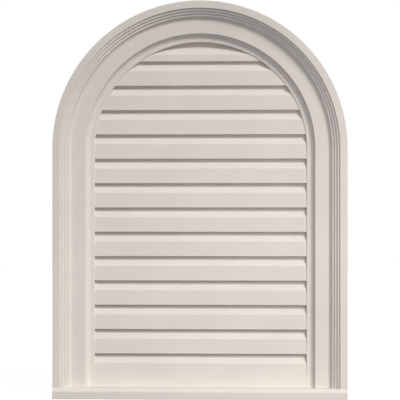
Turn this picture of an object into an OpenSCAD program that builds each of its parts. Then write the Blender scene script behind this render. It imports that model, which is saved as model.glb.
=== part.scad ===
// Round-top gable vent, moulded in one piece.
// A stepped and coved frame runs up both sides and round the arch, over a closed
// panel of horizontal louvre blades, and stands on a plain sill.
// It is drawn lying on its back: X across, Y up the vent, Z out from the wall.
// The last step stands it up, front towards -Y, sill underside on Z = 0.

/* [Overall] */
// Height from the sill's underside to the crown of the arch
vent_h = 762; // [600:1:1000]
// Width across the outer sides of the frame
vent_w = 564; // [440:1:700]
// Thickness of the closed panel behind the louvre grooves
floor_t = 8.7; // [5:0.1:14]

/* [Frame moulding] */
// Width of the flat outer band
band_w = 14.5; // [8:0.5:24]
// Number of steps between the outer band and the outer cove
steps = 3; // [1:1:4]
// Width of each step
step_w = 4.9; // [3:0.1:8]
// Height of each step
step_h = 3.9; // [2:0.1:6]
// Radius of the outer cove, below the last step
outer_cove_r = 7.6; // [4:0.1:14]
// Width of the wide flat between the two coves
flat_w = 24.8; // [12:0.1:36]
// Radius of the inner cove
inner_cove_r = 10; // [4:0.1:14]
// Width of the narrow strip round the louvre opening
strip_w = 5.1; // [3:0.1:12]
// Width of the bevel on the strip's inner edge
strip_bevel_w = 1.6; // [0.5:0.1:3]
// Depth of the bevel on the strip's inner edge
strip_bevel_h = 2; // [1.5:0.1:4]
// Radius of the eased edges along the moulding
edge_r = 0.8; // [0.3:0.1:1.2]

/* [Louvres] */
// Height of the upright face of a blade
blade_face_h = 28.4; // [16:0.1:40]
// Height of the sloping top of a blade
blade_slope_h = 17; // [8:0.1:24]
// Drop of a blade's lip below the back of its underside
lip_drop = 1.5; // [0.5:0.1:3]
// Depth of the grooves behind the top edge of a blade's face
groove_d = 9.5; // [5:0.1:14]
// Forward lean of a blade's face, from its top edge to its lip
blade_lean = 0.8; // [0.2:0.1:1.2]
// Height of the bottom blade's face above the fillet at its foot
bottom_face_h = 41.9; // [28:0.1:60]
// Gap between the top blade's slope and the crown of the opening
crown_gap = 7.7; // [3:0.1:14]
// Radius of the fillet where the bottom blade and the strips meet the sill
foot_fillet_r = 3.2; // [1:0.1:6]

/* [Sill] */
// Height of the sill at its back
sill_h = 21.5; // [16:0.5:34]
// Height of the sill's front face
sill_front_h = 14.8; // [8:0.1:15.5]
// How far the sill stands out in front of the outer band
sill_proud = 4.5; // [2:0.5:12]

/* [Hidden] */
// Levels above the wall, from the groove floor out to the sill front
face_level = floor_t + groove_d;
strip_level = face_level + strip_bevel_h;
flat_level = strip_level + inner_cove_r;
last_step_level = flat_level + outer_cove_r;
band_level = last_step_level + steps * step_h;
sill_level = band_level + sill_proud;

// Distances in from the frame's outer side
outer_cove_in = band_w + steps * step_w;
flat_in = outer_cove_in + outer_cove_r;
inner_cove_in = flat_in + flat_w;
strip_in = inner_cove_in + inner_cove_r;
bevel_in = strip_in + strip_w;
opening_in = bevel_in + strip_bevel_w;

// Arch: outer radius, and the height of its centre
arch_r = vent_w / 2;
arch_y = vent_h - arch_r;

// Louvre panel, which runs a little way in behind the strip
panel_lap = 2;
panel_r = arch_r - bevel_in + panel_lap;
foot_y = sill_h + foot_fillet_r;
crown_y = vent_h - bevel_in;
blade_pitch = blade_face_h + blade_slope_h + lip_drop;
first_lip_y = foot_y + bottom_face_h + blade_slope_h + lip_drop;
top_slope_y = crown_y - crown_gap - blade_slope_h;
last_groove = floor((top_slope_y - first_lip_y) / blade_pitch);
last_lip_y = first_lip_y + last_groove * blade_pitch;

// Margin by which a cutting shape passes the surface that it cuts
past = 1;
$fn = 96;
arch_fn = 288;
paint = [0.87, 0.83, 0.79];

// Hollow quarter round in the corner of a riser on the left and a tread below
module cove(r) {
    difference() {
        square(r);
        translate([r, r]) circle(r);
    }
}

// What comes off a square edge that faces right and up, to round it
module eased_edge(r) {
    translate([-r, -r]) difference() {
        square(r + past);
        circle(r);
    }
}

// Section of the frame: X in from the outer side, Y out from the wall
module frame_section() {
    difference() {
        union() {
            polygon(concat(
                [[0, 0], [0, band_level]],
                [for (i = [0 : steps - 1], below = [0, 1])
                    [band_w + i * step_w, band_level - (i + below) * step_h]],
                [[outer_cove_in, last_step_level], [outer_cove_in, flat_level],
                 [inner_cove_in, flat_level], [inner_cove_in, strip_level],
                 [bevel_in, strip_level], [opening_in, face_level], [opening_in, 0]]
            ));
            translate([outer_cove_in, flat_level]) cove(outer_cove_r);
            translate([inner_cove_in, strip_level]) cove(inner_cove_r);
        }
        translate([0, band_level]) mirror([1, 0]) eased_edge(edge_r);
        for (i = [0 : steps])
            translate([band_w + i * step_w, band_level - i * step_h]) eased_edge(edge_r);
        translate([inner_cove_in, flat_level]) eased_edge(edge_r);
    }
}

// The frame's section turned half way round the centre of the arch
module frame_arch() {
    translate([0, arch_y, 0])
        rotate_extrude(angle = 180, $fn = arch_fn)
            translate([arch_r, 0]) mirror([1, 0]) frame_section();
}

// One upright of the frame, on the left, from the sill's underside to the arch
module frame_leg() {
    translate([-arch_r, arch_y, 0])
        rotate([90, 0, 0])
            linear_extrude(arch_y) frame_section();
}

// A section drawn with X up the vent and Y out from the wall, run across it
module run_across(width) {
    translate([-width / 2, 0, 0]) rotate([90, 0, 90]) linear_extrude(width) children();
}

// Sill, with its top sloped off towards the front
module sill() {
    run_across(vent_w) difference() {
        polygon([[0, 0], [0, sill_level], [sill_front_h, sill_level],
                 [sill_h, band_level], [sill_h, 0]]);
        translate([0, sill_level]) mirror([1, 0]) eased_edge(edge_r);
    }
}

// Fillet where the strips and the bottom blade meet the top of the sill
module foot_fillet() {
    run_across(2 * (arch_r - inner_cove_in)) {
        square([foot_y, strip_level]);
        translate([sill_h, strip_level]) cove(foot_fillet_r);
    }
}

// Outline of one blade, up from its lip: the lip, the top of its face, the foot
// of its sloping top at the back of the groove
function blade(lip_y, lip_level, face_h) = [
    [lip_y, lip_level],
    [lip_y + face_h, face_level],
    [lip_y + face_h + blade_slope_h, floor_t]
];

// One of the blades above the bottom one, with its face leaning out to the lip
function leaning_blade(lip_y, face_h) =
    blade(lip_y, face_level + blade_lean * face_h / blade_face_h, face_h);

// Louvre blades in section; the bottom blade comes out flush with the strips at its
// foot, and the top blade's face is cut short under the arch
module louvre_section() {
    polygon(concat(
        [[0, 0], [0, strip_level]],
        blade(foot_y, strip_level, bottom_face_h),
        [for (i = [0 : last_groove - 1])
            each leaning_blade(first_lip_y + i * blade_pitch, blade_face_h)],
        leaning_blade(last_lip_y, top_slope_y - last_lip_y),
        [[vent_h, floor_t], [vent_h, 0]]
    ));
}

// The blades, trimmed to the arched opening
module louvres() {
    intersection() {
        run_across(vent_w) louvre_section();
        linear_extrude(sill_level) {
            translate([0, arch_y]) circle(panel_r, $fn = arch_fn);
            translate([-panel_r, 0]) square([2 * panel_r, arch_y]);
        }
    }
}

module gable_vent() {
    color(paint)
        translate([0, sill_level / 2, 0])
            rotate([90, 0, 0]) {
                frame_arch();
                frame_leg();
                mirror([1, 0, 0]) frame_leg();
                sill();
                foot_fillet();
                louvres();
            }
}

gable_vent();
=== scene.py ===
"""Round-top gable vent: one primed urethane casting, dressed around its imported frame."""

import math

import bmesh
import bpy
from bpy.props import FloatProperty, FloatVectorProperty, IntProperty, PointerProperty
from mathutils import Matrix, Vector


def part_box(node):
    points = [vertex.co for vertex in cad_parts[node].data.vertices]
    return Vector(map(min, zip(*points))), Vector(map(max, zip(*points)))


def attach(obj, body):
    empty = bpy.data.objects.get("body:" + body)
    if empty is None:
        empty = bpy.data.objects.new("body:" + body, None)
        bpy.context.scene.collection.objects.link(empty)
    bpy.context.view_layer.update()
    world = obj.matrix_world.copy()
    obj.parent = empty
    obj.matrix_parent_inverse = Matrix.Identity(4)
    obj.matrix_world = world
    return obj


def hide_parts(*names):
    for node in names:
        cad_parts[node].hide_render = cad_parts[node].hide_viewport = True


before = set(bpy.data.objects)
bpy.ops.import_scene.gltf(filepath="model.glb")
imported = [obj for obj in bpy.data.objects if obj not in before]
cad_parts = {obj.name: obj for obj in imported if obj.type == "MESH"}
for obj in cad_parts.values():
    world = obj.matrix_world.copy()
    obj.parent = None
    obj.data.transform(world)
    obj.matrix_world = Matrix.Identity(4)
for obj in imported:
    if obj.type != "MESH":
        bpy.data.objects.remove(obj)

bl_info = {
    "name": "Gable Vent Casting",
    "version": (1, 0, 0),
    "blender": (4, 5, 0),
    "location": "View3D > Sidebar > Vent",
    "description": "Models a round-top gable vent with its moulding, louvres and sill",
    "category": "Add Mesh",
}

MM = 0.001
NODE = "gable_vent"
LOW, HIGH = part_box(NODE)
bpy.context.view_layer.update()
WALL_Y = HIGH.y
VENT_W = HIGH.x - LOW.x
VENT_H = round(HIGH.z - LOW.z, 3)

# Axes that edges run along, by their index
ACROSS, UP = 0, 2

# Vertices closer than this are made one, and faces that meet at less than this angle are
# shaded as one surface, while edges over the last angle are corners to be rounded
SAME_PLACE = 0.002 * MM
SMOOTH_UNDER = math.radians(32)
CORNER_OVER = math.radians(50)

# Places of the lamps, in metres, and the point that the pool lamp is aimed at
KEY_DISTANCE = 3.0
POOL_PLACE = (0.6, -2.15, 0.72)
POOL_TARGET = (0.3, 0.0, 0.1)
BACK_PLACE = (-1.0, 3.0, 2.0)

# Colours and spreads of the lamps, and the colour of the even light all round
KEY_COLOUR = (1.0, 1.0, 0.935)
POOL_COLOUR = (1.0, 0.98, 0.955)
BACK_COLOUR = (0.97, 0.98, 1.0)
AMBIENT_COLOUR = (0.86, 0.87, 1.0)
KEY_SPREAD = math.radians(20)
POOL_SPREAD = math.radians(46)
POOL_RADIUS = 0.35
BACK_SPREAD = math.radians(60)

# The floor's width, its grey for the light it throws back, and its grey and glow as seen
FLOOR_SIZE = 12.0
FLOOR_PLAIN = 0.18
FLOOR_SEEN = 0.35
FLOOR_GLOW = 0.8

# The Mix node's sockets for colours: the two that it mixes and the result
MIX_FIRST, MIX_SECOND, MIX_RESULT = 6, 7, 2


class MouldingSizes(bpy.types.PropertyGroup):
    """Sizes of the frame's section, from its outer side in to the louvre opening"""

    band_w: FloatProperty(
        name="Outer band", description="Width of the flat outer band",
        default=14.5 * MM, min=0.0, unit="LENGTH")
    steps: IntProperty(
        name="Steps", description="Number of steps between the outer band and the outer cove",
        default=3, min=1)
    step_w: FloatProperty(
        name="Step width", description="Width of each step",
        default=4.9 * MM, min=0.0, unit="LENGTH")
    step_h: FloatProperty(
        name="Step height", description="Height of each step",
        default=3.9 * MM, min=0.0, unit="LENGTH")
    outer_cove_r: FloatProperty(
        name="Outer cove", description="Radius of the hollow below the last step",
        default=7.6 * MM, min=0.0, unit="LENGTH")
    flat_w: FloatProperty(
        name="Wide flat", description="Width of the flat between the two coves",
        default=24.8 * MM, min=0.0, unit="LENGTH")
    inner_cove_r: FloatProperty(
        name="Inner cove", description="Radius of the hollow beside the narrow strip",
        default=10 * MM, min=0.0, unit="LENGTH")
    strip_w: FloatProperty(
        name="Strip", description="Width of the narrow strip round the opening",
        default=5.1 * MM, min=0.0, unit="LENGTH")
    strip_bevel_w: FloatProperty(
        name="Strip bevel width", description="Width of the bevel on the strip's inner edge",
        default=1.6 * MM, min=0.0, unit="LENGTH")
    strip_bevel_h: FloatProperty(
        name="Strip bevel depth", description="Depth of the bevel on the strip's inner edge",
        default=2 * MM, min=0.0, unit="LENGTH")
    outer_edge_r: FloatProperty(
        name="Outer edge radius", description="Rounding of the moulding's proud edges",
        default=0.8 * MM, min=0.0, unit="LENGTH")
    inner_edge_r: FloatProperty(
        name="Inner edge radius", description="Rounding in the corners between the steps",
        default=0.6 * MM, min=0.0, unit="LENGTH")
    arch_turns: IntProperty(
        name="Arch steps", description="Number of facets round the half circle of the arch",
        default=144, min=24)


class LouvreSizes(bpy.types.PropertyGroup):
    """Sizes of the louvre blades and of the closed panel behind them"""

    floor_t: FloatProperty(
        name="Panel", description="Thickness of the closed panel behind the grooves",
        default=8.7 * MM, min=0.0, unit="LENGTH")
    groove_d: FloatProperty(
        name="Groove depth", description="Depth of the grooves behind the top of a blade's face",
        default=9.5 * MM, min=0.0, unit="LENGTH")
    face_h: FloatProperty(
        name="Blade face", description="Height of a blade's upright face",
        default=28.4 * MM, min=0.0, unit="LENGTH")
    slope_h: FloatProperty(
        name="Blade slope", description="Height of a blade's sloping top",
        default=17 * MM, min=0.0, unit="LENGTH")
    lip_drop: FloatProperty(
        name="Lip drop", description="Drop of a lip below the back of its underside",
        default=1.5 * MM, min=0.0, unit="LENGTH")
    lean: FloatProperty(
        name="Lean", description="Forward lean of a blade's face from its top to its lip",
        default=0.8 * MM, min=0.0, unit="LENGTH")
    bottom_face_h: FloatProperty(
        name="Bottom face", description="Height of the bottom blade's face above its foot fillet",
        default=41.9 * MM, min=0.0, unit="LENGTH")
    crown_gap: FloatProperty(
        name="Crown gap", description="Gap from the top blade's slope to the crown",
        default=7.7 * MM, min=0.0, unit="LENGTH")
    lip_r: FloatProperty(
        name="Lip radius", description="Rounding of the blades' lips and of their top edges",
        default=0.8 * MM, min=0.0, unit="LENGTH")
    lap: FloatProperty(
        name="Lap", description="How far the panel runs in behind the narrow strip",
        default=2 * MM, min=0.0, unit="LENGTH")


class SillSizes(bpy.types.PropertyGroup):
    """Sizes of the sill and of the fillet behind it"""

    sill_h: FloatProperty(
        name="Height at back", description="Height of the sill at its back",
        default=21.5 * MM, min=0.0, unit="LENGTH")
    front_h: FloatProperty(
        name="Front height", description="Height of the sill's front face",
        default=14.8 * MM, min=0.0, unit="LENGTH")
    fillet_r: FloatProperty(
        name="Fillet", description="Radius of the fillet where blade and strips meet the sill",
        default=3.2 * MM, min=0.0, unit="LENGTH")
    edge_r: FloatProperty(
        name="Edge radius", description="Rounding of the sill's front and side edges",
        default=1.0 * MM, min=0.0, unit="LENGTH")


class FinishSettings(bpy.types.PropertyGroup):
    """Colours and gloss of the primed urethane"""

    primer: FloatVectorProperty(
        name="Primer", description="Colour of the factory primer",
        default=(0.725, 0.667, 0.617), size=3, min=0.0, max=1.0, subtype="COLOR")
    primer_thin: FloatVectorProperty(
        name="Thin primer", description="Colour where the primer lies thinner",
        default=(0.695, 0.646, 0.605), size=3, min=0.0, max=1.0, subtype="COLOR")
    back: FloatVectorProperty(
        name="Back", description="Colour of the bare foam on the flat, rubbed-down back",
        default=(0.66, 0.58, 0.45), size=3, min=0.0, max=1.0, subtype="COLOR")
    # Painted shade: the dark colour laid in the back's air holes, standing in for the shade inside
    # them
    pit_shade: FloatVectorProperty(
        name="Pits", description="Colour inside the small air holes in the back",
        default=(0.38, 0.31, 0.21), size=3, min=0.0, max=1.0, subtype="COLOR")
    sheen_low: FloatProperty(
        name="Least roughness", description="Roughness where the primer lies thick",
        default=0.5, min=0.0, max=1.0, subtype="FACTOR")
    sheen_high: FloatProperty(
        name="Most roughness", description="Roughness where the primer lies thin",
        default=0.66, min=0.0, max=1.0, subtype="FACTOR")
    gloss: FloatProperty(
        name="Gloss", description="Specular level of the matte primer",
        default=0.25, min=0.0, max=1.0, subtype="FACTOR")
    waves: FloatProperty(
        name="Waves", description="Height of the slow waves that casting leaves in the flats",
        default=0.25 * MM, min=0.0, unit="LENGTH")
    wave_size: FloatProperty(
        name="Wave size", description="Width of the slow waves",
        default=60 * MM, min=MM, unit="LENGTH")
    grain: FloatProperty(
        name="Grain", description="Height of the primer's fine grain",
        default=0.04 * MM, min=0.0, unit="LENGTH")
    grain_size: FloatProperty(
        name="Grain size", description="Width of the primer's fine grain",
        default=1.2 * MM, min=0.1 * MM, unit="LENGTH")
    cloud_size: FloatProperty(
        name="Cloud size", description="Width of the patches of thick and thin primer",
        default=110 * MM, min=MM, unit="LENGTH")
    speckle_size: FloatProperty(
        name="Speckle size", description="Width of the small specks in the primer",
        default=2.2 * MM, min=0.1 * MM, unit="LENGTH")
    pit_spacing: FloatProperty(
        name="Pit spacing", description="Distance between the air holes in the back",
        default=17 * MM, min=MM, unit="LENGTH")
    streak_size: FloatProperty(
        name="Streak width", description="Width of the sanding streaks up the back",
        default=3 * MM, min=0.1 * MM, unit="LENGTH")


class StudioSettings(bpy.types.PropertyGroup):
    """Camera and lights"""

    camera_distance: FloatProperty(
        name="Camera distance", description="Distance from the camera to the wall plane",
        default=3.5, min=0.5, unit="LENGTH")
    camera_turn: FloatProperty(
        name="Camera turn", description="How far the camera stands round to the right",
        default=math.radians(2.66), unit="ROTATION")
    camera_aim: FloatProperty(
        name="Camera aim", description="How far right of the middle the camera is aimed",
        default=1.2 * MM, unit="LENGTH")
    frame_height: FloatProperty(
        name="Framed height", description="Height that the picture takes in at the vent's front",
        default=0.762, min=0.1, unit="LENGTH")
    key_lean: FloatProperty(
        name="Key lean", description="Angle of the key light away from straight in front",
        default=math.radians(52), unit="ROTATION")
    key_rise: FloatProperty(
        name="Key rise", description="Angle of the key light above the right, seen in front",
        default=math.radians(51), unit="ROTATION")
    key_strength: FloatProperty(
        name="Key light", description="Strength of the light from the upper right",
        default=2.3, min=0.0)
    pool_power: FloatProperty(
        name="Pool light", description="Power of the wide lamp in front, aimed low and right",
        default=69.5, min=0.0, unit="POWER")
    ambient_strength: FloatProperty(
        name="Ambient light", description="Strength of the even light all round",
        default=0.33, min=0.0)
    back_strength: FloatProperty(
        name="Back light", description="Strength of the light on the back",
        default=1.6, min=0.0)


def sizes():
    """The three groups of sizes that the casting is made from"""
    scene = bpy.context.scene
    return scene.vent_moulding, scene.vent_louvres, scene.vent_sill


def levels():
    """Distances out from the wall of the surfaces that the front shows"""
    moulding, louvres, _ = sizes()
    face = louvres.floor_t + louvres.groove_d
    strip = face + moulding.strip_bevel_h
    flat = strip + moulding.inner_cove_r
    band = flat + moulding.outer_cove_r + moulding.steps * moulding.step_h
    return {"face": face, "strip": strip, "flat": flat, "band": band}


def insets():
    """Distances in from the frame's outer side of the edges of its section"""
    moulding, _, _ = sizes()
    outer_cove = moulding.band_w + moulding.steps * moulding.step_w
    inner_cove = outer_cove + moulding.outer_cove_r + moulding.flat_w
    bevel = inner_cove + moulding.inner_cove_r + moulding.strip_w
    return {"outer_cove": outer_cove, "inner_cove": inner_cove, "bevel": bevel,
            "opening": bevel + moulding.strip_bevel_w}


def deselect_all():
    """Leaves no object selected, so that an operator acts on new pieces only"""
    bpy.ops.object.select_all(action="DESELECT")


def make_active(piece):
    """Makes piece the one selected object"""
    deselect_all()
    piece.select_set(True)
    bpy.context.view_layer.objects.active = piece


def draw_section(name, points):
    """A flat face outlined by points, drawn by extruding one vertex from each to the next"""
    deselect_all()
    bpy.ops.mesh.primitive_plane_add(size=MM, location=points[0])
    piece = bpy.context.active_object
    piece.name = name
    bpy.ops.object.transform_apply(location=True, rotation=True, scale=True)
    bpy.ops.object.mode_set(mode="EDIT")
    bpy.ops.mesh.select_mode(type="VERT")
    bpy.ops.mesh.select_all(action="SELECT")
    bpy.ops.mesh.merge(type="CENTER")
    for here, there in zip(points, points[1:]):
        step = Vector(there) - Vector(here)
        bpy.ops.mesh.extrude_vertices_move(TRANSFORM_OT_translate={"value": step})
    bpy.ops.mesh.select_all(action="SELECT")
    bpy.ops.mesh.edge_face_add()
    return piece


def extrude_selected(step):
    """Extrudes what is selected in edit mode by step"""
    bpy.ops.mesh.extrude_region_move(TRANSFORM_OT_translate={"value": step})


def select_edges(piece, wanted):
    """Selects the edges of piece, in edit mode, for which wanted(edge) holds"""
    bpy.ops.mesh.select_mode(type="EDGE")
    bpy.ops.mesh.select_all(action="DESELECT")
    mesh = bmesh.from_edit_mesh(piece.data)
    for edge in mesh.edges:
        if wanted(edge):
            edge.select_set(True)
    bmesh.update_edit_mesh(piece.data)


def select_faces(piece, wanted):
    """Selects the faces of piece, in edit mode, for which wanted(face) holds"""
    bpy.ops.mesh.select_mode(type="FACE")
    bpy.ops.mesh.select_all(action="DESELECT")
    mesh = bmesh.from_edit_mesh(piece.data)
    for face in mesh.faces:
        face.select_set(wanted(face))
    bmesh.update_edit_mesh(piece.data)


def runs_along(edge, axis):
    """Whether edge lies along axis, which is ACROSS or UP"""
    run = edge.verts[1].co - edge.verts[0].co
    return abs(run[axis]) > 0.99 * run.length


def sharp(edge, convex):
    """Whether edge is a sharp corner, standing out or turned in"""
    turn = edge.calc_face_angle_signed(0.0)
    return turn > CORNER_OVER if convex else turn < -CORNER_OVER


def round_selected(radius):
    """Bevels the selected edges to a quarter round in three facets"""
    bpy.ops.mesh.bevel(offset=radius, offset_type="OFFSET", segments=3, profile=0.5,
                       affect="EDGES", clamp_overlap=False, loop_slide=True)


def face_outwards():
    """Turns the faces of the piece in edit mode outwards"""
    bpy.ops.mesh.select_all(action="SELECT")
    bpy.ops.mesh.normals_make_consistent(inside=False)


def close_piece():
    """Turns the faces of the piece in edit mode outwards and goes back to object mode"""
    face_outwards()
    bpy.ops.object.mode_set(mode="OBJECT")


def cove_arc(across, out, radius, segments=12):
    """Points down a hollow quarter round whose foot corner is at across, out"""
    turns = [math.pi + i * math.pi / 2 / segments for i in range(segments + 1)]
    return [(across + radius + radius * math.cos(t), out + radius + radius * math.sin(t))
            for t in turns]


def frame_outline():
    """Outline of the frame's section: across from the outer side, out from the wall"""
    moulding, _, _ = sizes()
    level = levels()
    inset = insets()
    outline = [(0.0, 0.0), (0.0, level["band"])]
    for i in range(moulding.steps):
        across = moulding.band_w + i * moulding.step_w
        top = level["band"] - i * moulding.step_h
        outline += [(across, top), (across, top - moulding.step_h)]
    outline += cove_arc(inset["outer_cove"], level["flat"], moulding.outer_cove_r)
    outline += cove_arc(inset["inner_cove"], level["strip"], moulding.inner_cove_r)
    outline += [(inset["bevel"], level["strip"]), (inset["opening"], level["face"]),
                (inset["opening"], 0.0)]
    return outline


def make_frame():
    """The frame: its section run up one side, round the arch and down the other side"""
    moulding, _, sill = sizes()
    radius = VENT_W / 2
    arch_z = VENT_H - radius
    foot_z = sill.front_h / 2
    points = [(-radius + across, WALL_Y - out, foot_z) for across, out in frame_outline()]
    piece = draw_section("frame", points)
    extrude_selected((0.0, 0.0, arch_z - foot_z))
    inner_x = -radius + insets()["opening"]

    def proud(edge):
        return (runs_along(edge, UP) and sharp(edge, True)
                and abs(edge.verts[0].co.x - inner_x) > MM)

    def hollow(edge):
        return runs_along(edge, UP) and sharp(edge, False)

    face_outwards()
    select_edges(piece, proud)
    round_selected(moulding.outer_edge_r)
    select_edges(piece, hollow)
    round_selected(moulding.inner_edge_r)
    select_faces(piece, lambda face: face.calc_center_median().z > arch_z - MM / 2)
    bpy.ops.mesh.spin(steps=moulding.arch_turns, angle=math.pi, center=(0.0, WALL_Y, arch_z),
                      axis=(0.0, -1.0, 0.0))
    extrude_selected((0.0, 0.0, foot_z - arch_z))
    close_piece()
    return piece


def blade_outline(lip_z, face_h, lip_out=None):
    """One blade in section, up from its lip: lip, top of its face, foot of its slope"""
    _, louvres, _ = sizes()
    face = levels()["face"]
    if lip_out is None:
        lip_out = face + louvres.lean * face_h / louvres.face_h
    return [(lip_z, lip_out), (lip_z + face_h, face),
            (lip_z + face_h + louvres.slope_h, louvres.floor_t)]


def make_louvres():
    """The closed panel with its blades, trimmed to the arched opening"""
    _, louvres, sill = sizes()
    inset = insets()
    strip = levels()["strip"]
    foot_z = sill.sill_h + sill.fillet_r
    pitch = louvres.face_h + louvres.slope_h + louvres.lip_drop
    top_slope_z = VENT_H - inset["bevel"] - louvres.crown_gap - louvres.slope_h
    lip_z = foot_z + louvres.bottom_face_h + louvres.slope_h + louvres.lip_drop
    outline = [(sill.front_h, 0.0), (sill.front_h, strip)]
    outline += blade_outline(foot_z, louvres.bottom_face_h, strip)
    while lip_z + pitch <= top_slope_z:
        outline += blade_outline(lip_z, louvres.face_h)
        lip_z += pitch
    outline += blade_outline(lip_z, top_slope_z - lip_z)
    outline += [(VENT_H, louvres.floor_t), (VENT_H, 0.0)]
    half = VENT_W / 2 - inset["bevel"] + louvres.lap
    piece = draw_section("louvres", [(-half, WALL_Y - out, z) for z, out in outline])
    extrude_selected((2 * half, 0.0, 0.0))
    face_outwards()

    def blade_edge(edge):
        start = edge.verts[0].co
        return (runs_along(edge, ACROSS) and start.z > foot_z + MM
                and start.y < WALL_Y - louvres.floor_t - MM)

    def groove_foot(edge):
        return runs_along(edge, ACROSS) and sharp(edge, False)

    select_edges(piece, blade_edge)
    round_selected(louvres.lip_r)
    select_edges(piece, groove_foot)
    round_selected(louvres.lip_r)
    close_piece()
    trim_to_arch(piece, half)
    return piece


def trim_to_arch(piece, half):
    """Keeps of piece what lies in an arched outline half as wide"""
    moulding, _, _ = sizes()
    arch_z = VENT_H - VENT_W / 2
    turns = moulding.arch_turns
    outline = [(half * math.cos(math.pi * i / turns), arch_z + half * math.sin(math.pi * i / turns))
               for i in range(turns + 1)]
    outline += [(-half, 0.0), (half, 0.0)]
    cutter = draw_section("arch_cutter", [(x, WALL_Y + MM, z) for x, z in outline])
    extrude_selected((0.0, -levels()["band"], 0.0))
    close_piece()
    combine(piece, cutter, "INTERSECT")


def make_sill():
    """The sill, its top sloped off towards the front and its edges eased"""
    _, _, sill = sizes()
    level = levels()
    front = WALL_Y - LOW.y
    outline = [(0.0, 0.0), (0.0, front), (sill.front_h, front),
               (sill.sill_h, level["band"]), (sill.sill_h, 0.0)]
    piece = draw_section("sill", [(-VENT_W / 2, WALL_Y - out, z) for z, out in outline])
    extrude_selected((VENT_W, 0.0, 0.0))
    face_outwards()

    def seen_edge(edge):
        return all(v.co.y < WALL_Y - level["band"] + MM for v in edge.verts)

    select_edges(piece, seen_edge)
    round_selected(sill.edge_r)
    close_piece()
    return piece


def make_foot_fillet():
    """The fillet where the strips and the bottom blade meet the top of the sill"""
    _, _, sill = sizes()
    foot = sill.front_h
    half = VENT_W / 2 - insets()["inner_cove"]
    fillet = [(z, out) for out, z in cove_arc(levels()["strip"], sill.sill_h, sill.fillet_r)]
    outline = [(foot, 0.0), (foot, fillet[-1][1])] + fillet[::-1]
    outline += [(sill.sill_h + sill.fillet_r, 0.0)]
    piece = draw_section("foot_fillet", [(-half, WALL_Y - out, z) for z, out in outline])
    extrude_selected((2 * half, 0.0, 0.0))
    close_piece()
    return piece


def combine(piece, other, operation):
    """Applies a boolean of other to piece and removes other"""
    make_active(piece)
    modifier = piece.modifiers.new(operation.lower(), "BOOLEAN")
    modifier.operation = operation
    modifier.solver = "EXACT"
    modifier.object = other
    bpy.ops.object.modifier_apply(modifier=modifier.name)
    bpy.data.objects.remove(other)


def finish_shading(piece):
    """Smooth rounds and coves, with flat faces kept flat"""
    make_active(piece)
    bpy.ops.object.mode_set(mode="EDIT")
    bpy.ops.mesh.select_all(action="SELECT")
    bpy.ops.mesh.remove_doubles(threshold=SAME_PLACE)
    bpy.ops.object.mode_set(mode="OBJECT")
    bpy.ops.object.shade_smooth_by_angle(angle=SMOOTH_UNDER)
    modifier = piece.modifiers.new("weighted normals", "WEIGHTED_NORMAL")
    modifier.keep_sharp = True
    modifier.weight = 100
    bpy.ops.object.modifier_apply(modifier=modifier.name)


def empty_tree(owner):
    """The node tree of a new material or world, with nothing in it"""
    owner.use_nodes = True
    owner.node_tree.nodes.clear()
    return owner.node_tree


def add_node(tree, kind, inputs=None, **settings):
    """Adds a shader node of that kind with settings, and with inputs by name"""
    node = tree.nodes.new(kind)
    for name, value in settings.items():
        setattr(node, name, value)
    for name, value in (inputs or {}).items():
        if isinstance(value, bpy.types.NodeSocket):
            tree.links.new(value, node.inputs[name])
        else:
            node.inputs[name].default_value = value
    return node


def noise(tree, place, size, detail=2.0, roughness=0.5):
    """Noise with features about size metres across"""
    node = add_node(tree, "ShaderNodeTexNoise",
                    {"Vector": place, "Scale": 1.0 / size, "Detail": detail,
                     "Roughness": roughness})
    return node.outputs["Fac"]


def ramp(tree, value, start, end, low=0.0, high=1.0):
    """Value taken from start to end over to low to high, and held there"""
    node = add_node(tree, "ShaderNodeMapRange",
                    {"Value": value, "From Min": start, "From Max": end,
                     "To Min": low, "To Max": high})
    return node.outputs["Result"]


def blend_colours(tree, factor, first, second):
    """Mix of two colours, each a socket or three numbers"""
    inputs = {"Factor": factor}
    for index, colour in ((MIX_FIRST, first), (MIX_SECOND, second)):
        inputs[index] = colour if isinstance(colour, bpy.types.NodeSocket) else (*colour, 1.0)
    return add_node(tree, "ShaderNodeMix", inputs, data_type="RGBA").outputs[MIX_RESULT]


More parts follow.
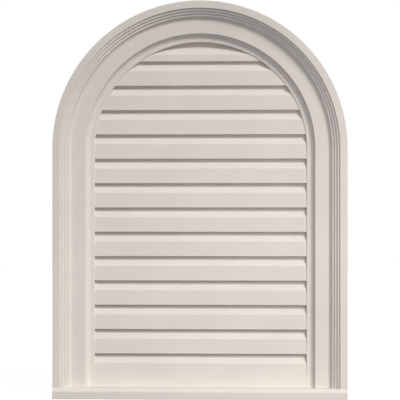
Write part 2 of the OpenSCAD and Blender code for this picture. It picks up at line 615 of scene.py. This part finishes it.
def primed_urethane():
    """Matte factory primer on a cast face, thinner in cloudy patches, with a rubbed back whose air
    holes get painted shade
    """
    finish = bpy.context.scene.vent_finish
    material = bpy.data.materials.new("primed_urethane")
    tree = empty_tree(material)
    place = add_node(tree, "ShaderNodeTexCoord").outputs["Object"]

    clouds = noise(tree, place, finish.cloud_size, detail=3.0, roughness=0.55)
    thickness = ramp(tree, clouds, 0.35, 0.65)
    front = blend_colours(tree, thickness, finish.primer_thin, finish.primer)
    speckle = ramp(tree, noise(tree, place, finish.speckle_size), 0.62, 0.72, 0.0, 0.12)
    front = blend_colours(tree, speckle, front, finish.primer_thin)

    depth = add_node(tree, "ShaderNodeSeparateXYZ", {"Vector": place}).outputs["Y"]
    on_back = ramp(tree, depth, WALL_Y - 0.6 * MM, WALL_Y - 0.1 * MM)
    # The air holes in the back have no depth of their own: painted shade darkens the foam where
    # they lie
    holes = add_node(tree, "ShaderNodeTexVoronoi",
                     {"Vector": place, "Scale": 1.0 / finish.pit_spacing})
    hole_shade = ramp(tree, holes.outputs["Distance"], 0.05, 0.1, 1.0, 0.0)
    streaks_place = add_node(tree, "ShaderNodeMapping",
                             {"Vector": place, "Scale": (1.0, 1.0, 0.06)})
    streaks = noise(tree, streaks_place.outputs["Vector"], finish.streak_size, detail=3.0)
    foam = blend_colours(tree, ramp(tree, streaks, 0.35, 0.7), finish.back, finish.primer_thin)
    foam = blend_colours(tree, hole_shade, foam, finish.pit_shade)
    colour = blend_colours(tree, on_back, front, foam)

    waves = add_node(tree, "ShaderNodeBump",
                     {"Height": noise(tree, place, finish.wave_size, detail=1.0), "Strength": 1.0,
                      "Distance": finish.waves})
    grain = add_node(tree, "ShaderNodeBump",
                     {"Height": noise(tree, place, finish.grain_size, detail=3.0), "Strength": 1.0,
                      "Distance": finish.grain, "Normal": waves.outputs["Normal"]})
    shader = add_node(tree, "ShaderNodeBsdfPrincipled",
                      {"Base Color": colour,
                       "Roughness": ramp(tree, clouds, 0.35, 0.65, finish.sheen_high,
                                         finish.sheen_low),
                       "Specular IOR Level": finish.gloss,
                       "Normal": grain.outputs["Normal"]})
    add_node(tree, "ShaderNodeOutputMaterial", {"Surface": shader.outputs["BSDF"]})
    return material


class VENT_OT_casting(bpy.types.Operator):
    """Models the vent as one casting: frame, sill, foot fillet and louvres run together"""

    bl_idname = "vent.casting"
    bl_label = "Vent Casting"

    def execute(self, context):
        casting = make_frame()
        for part in (make_sill(), make_foot_fillet(), make_louvres()):
            combine(casting, part, "UNION")
        casting.name = "vent_casting"
        casting.data.name = "vent_casting"
        finish_shading(casting)
        casting.data.materials.clear()
        casting.data.materials.append(primed_urethane())
        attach(casting, "root")
        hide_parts(NODE)
        return {"FINISHED"}


def seen_rays(tree):
    """One for the rays that see the background: camera, glossy and transmission rays"""
    rays = add_node(tree, "ShaderNodeLightPath").outputs
    seen = rays["Is Camera Ray"]
    for kind in ("Is Glossy Ray", "Is Transmission Ray"):
        seen = add_node(tree, "ShaderNodeMath", {0: seen, 1: rays[kind]},
                        operation="MAXIMUM").outputs["Value"]
    return seen


def grey(level):
    """An opaque grey, from 0 for black to 1 for white"""
    return (level, level, level, 1.0)


def floor_material():
    """Floor that is seen as white with a soft shadow, and throws little light back"""
    material = bpy.data.materials.new("studio_floor")
    tree = empty_tree(material)
    plain = add_node(tree, "ShaderNodeBsdfDiffuse", {"Color": grey(FLOOR_PLAIN)})
    pale = add_node(tree, "ShaderNodeBsdfDiffuse", {"Color": grey(FLOOR_SEEN)})
    white = add_node(tree, "ShaderNodeEmission", {"Color": grey(1.0), "Strength": FLOOR_GLOW})
    shown = add_node(tree, "ShaderNodeAddShader",
                     {0: pale.outputs["BSDF"], 1: white.outputs["Emission"]})
    mixed = add_node(tree, "ShaderNodeMixShader",
                     {"Fac": seen_rays(tree), 1: plain.outputs["BSDF"],
                      2: shown.outputs["Shader"]})
    add_node(tree, "ShaderNodeOutputMaterial", {"Surface": mixed.outputs["Shader"]})
    return material


def studio_world(strength):
    """Even ambient light, seen by the camera as plain white"""
    world = bpy.data.worlds.new("studio")
    bpy.context.scene.world = world
    tree = empty_tree(world)
    ambient = add_node(tree, "ShaderNodeBackground",
                       {"Color": (*AMBIENT_COLOUR, 1.0), "Strength": strength})
    white = add_node(tree, "ShaderNodeBackground",
                     {"Color": grey(1.0), "Strength": 1.0})
    mixed = add_node(tree, "ShaderNodeMixShader",
                     {"Fac": seen_rays(tree), 1: ambient.outputs["Background"],
                      2: white.outputs["Background"]})
    add_node(tree, "ShaderNodeOutputWorld", {"Surface": mixed.outputs["Shader"]})


def aim(thing, target):
    """Turns a lamp or camera to look at target"""
    direction = Vector(target) - thing.location
    thing.rotation_euler = direction.to_track_quat("-Z", "Y").to_euler()


def add_lamp(name, kind, place, target, energy, colour):
    """Adds a lamp of that kind at place, turned to target"""
    lamp_data = bpy.data.lights.new(name, kind)
    lamp_data.energy = energy
    lamp_data.color = colour
    lamp = bpy.data.objects.new(name, lamp_data)
    bpy.context.collection.objects.link(lamp)
    lamp.location = place
    aim(lamp, target)
    return lamp_data


def add_lights():
    """The key light, the wide pool of light in front, the light on the back and the world"""
    studio = bpy.context.scene.vent_studio
    centre = Vector((0.0, 0.0, VENT_H / 2))
    across = math.sin(studio.key_lean)
    to_key = Vector((across * math.cos(studio.key_rise), -math.cos(studio.key_lean),
                     across * math.sin(studio.key_rise)))
    key = add_lamp("key", "SUN", centre + KEY_DISTANCE * to_key, centre, studio.key_strength,
                   KEY_COLOUR)
    key.angle = KEY_SPREAD
    pool = add_lamp("pool", "SPOT", POOL_PLACE, POOL_TARGET, studio.pool_power, POOL_COLOUR)
    pool.spot_size = POOL_SPREAD
    pool.spot_blend = 1.0
    pool.shadow_soft_size = POOL_RADIUS
    back = add_lamp("back", "SUN", BACK_PLACE, centre, studio.back_strength, BACK_COLOUR)
    back.angle = BACK_SPREAD
    studio_world(studio.ambient_strength)


def add_camera():
    """The camera, at mid height and a little to the right, as in the picture"""
    studio = bpy.context.scene.vent_studio
    reach = studio.camera_distance
    camera_data = bpy.data.cameras.new("camera")
    camera = bpy.data.objects.new("camera", camera_data)
    bpy.context.collection.objects.link(camera)
    camera.location = (reach * math.sin(studio.camera_turn),
                       WALL_Y - reach * math.cos(studio.camera_turn), VENT_H / 2)
    target = Vector((studio.camera_aim, LOW.y, VENT_H / 2))
    aim(camera, target)
    distance = (camera.location - target).length
    camera_data.sensor_fit = "HORIZONTAL"
    camera_data.angle = 2 * math.atan(studio.frame_height / 2 / distance)
    camera_data.clip_start = 0.05
    bpy.context.scene.camera = camera


class VENT_OT_stage(bpy.types.Operator):
    """Sets up the floor, the lights and the camera"""

    bl_idname = "vent.stage"
    bl_label = "Studio Stage"

    def execute(self, context):
        deselect_all()
        bpy.ops.mesh.primitive_plane_add(size=FLOOR_SIZE, location=(0.0, 0.0, 0.0))
        floor = context.active_object
        floor.name = "studio_floor"
        floor.data.materials.append(floor_material())
        add_lights()
        add_camera()
        context.scene.view_settings.view_transform = "Standard"
        return {"FINISHED"}


class VENT_PT_panel(bpy.types.Panel):
    """Lists the vent's steps and sizes"""

    bl_idname = "VENT_PT_panel"
    bl_label = "Gable Vent"
    bl_space_type = "VIEW_3D"
    bl_region_type = "UI"
    bl_category = "Vent"

    def draw(self, context):
        column = self.layout.column()
        column.operator(VENT_OT_casting.bl_idname)
        column.operator(VENT_OT_stage.bl_idname)
        for name in GROUPS:
            group = getattr(context.scene, name)
            box = self.layout.box()
            for prop in group.bl_rna.properties:
                if not prop.is_readonly and prop.identifier != "name":
                    box.prop(group, prop.identifier)


GROUPS = {
    "vent_moulding": MouldingSizes,
    "vent_louvres": LouvreSizes,
    "vent_sill": SillSizes,
    "vent_finish": FinishSettings,
    "vent_studio": StudioSettings,
}
CLASSES = (*GROUPS.values(), VENT_OT_casting, VENT_OT_stage, VENT_PT_panel)


def register():
    """Registers the classes and puts the groups of settings on the scene"""
    for item in CLASSES:
        bpy.utils.register_class(item)
    for name, group in GROUPS.items():
        setattr(bpy.types.Scene, name, PointerProperty(type=group))


def unregister():
    """Takes the settings off the scene and unregisters the classes"""
    for name in GROUPS:
        delattr(bpy.types.Scene, name)
    for item in reversed(CLASSES):
        bpy.utils.unregister_class(item)


def main():
    register()
    bpy.ops.vent.casting()
    bpy.ops.vent.stage()


if __name__ == "__main__":
    main()
